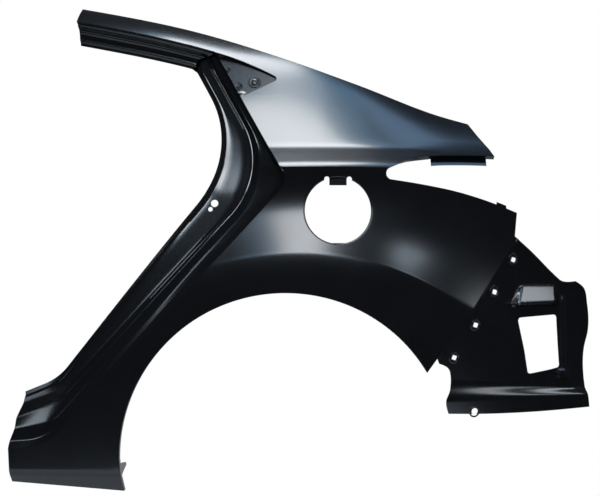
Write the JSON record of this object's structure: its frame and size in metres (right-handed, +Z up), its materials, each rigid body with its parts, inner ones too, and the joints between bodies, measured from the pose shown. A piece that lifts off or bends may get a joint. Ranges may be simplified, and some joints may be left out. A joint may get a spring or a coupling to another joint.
{
  "type": "rear quarter panel",
  "caption": "Left rear quarter panel of a saloon: pillar, shoulder, filler opening and wheel arch in one pressing, with an extension welded behind its lower rear edge.",
  "frame": {"origin": "centre of the wheel arch, in the upright plane that touches the panel's outermost line", "axes": "+X towards the car's rear, +Y inboard (the outer face looks towards -Y), +Z up"},
  "size_m": [1.2743, 0.309, 1.0893],
  "materials": {
    "primed_steel": "semi-gloss black primer"
  },
  "bodies": {
    "root": {"quarter_panel": "primed_steel", "rear_extension": "primed_steel", "lamp_bracket": "primed_steel", "corner_tab": "primed_steel"}
  },
  "joints": []
}
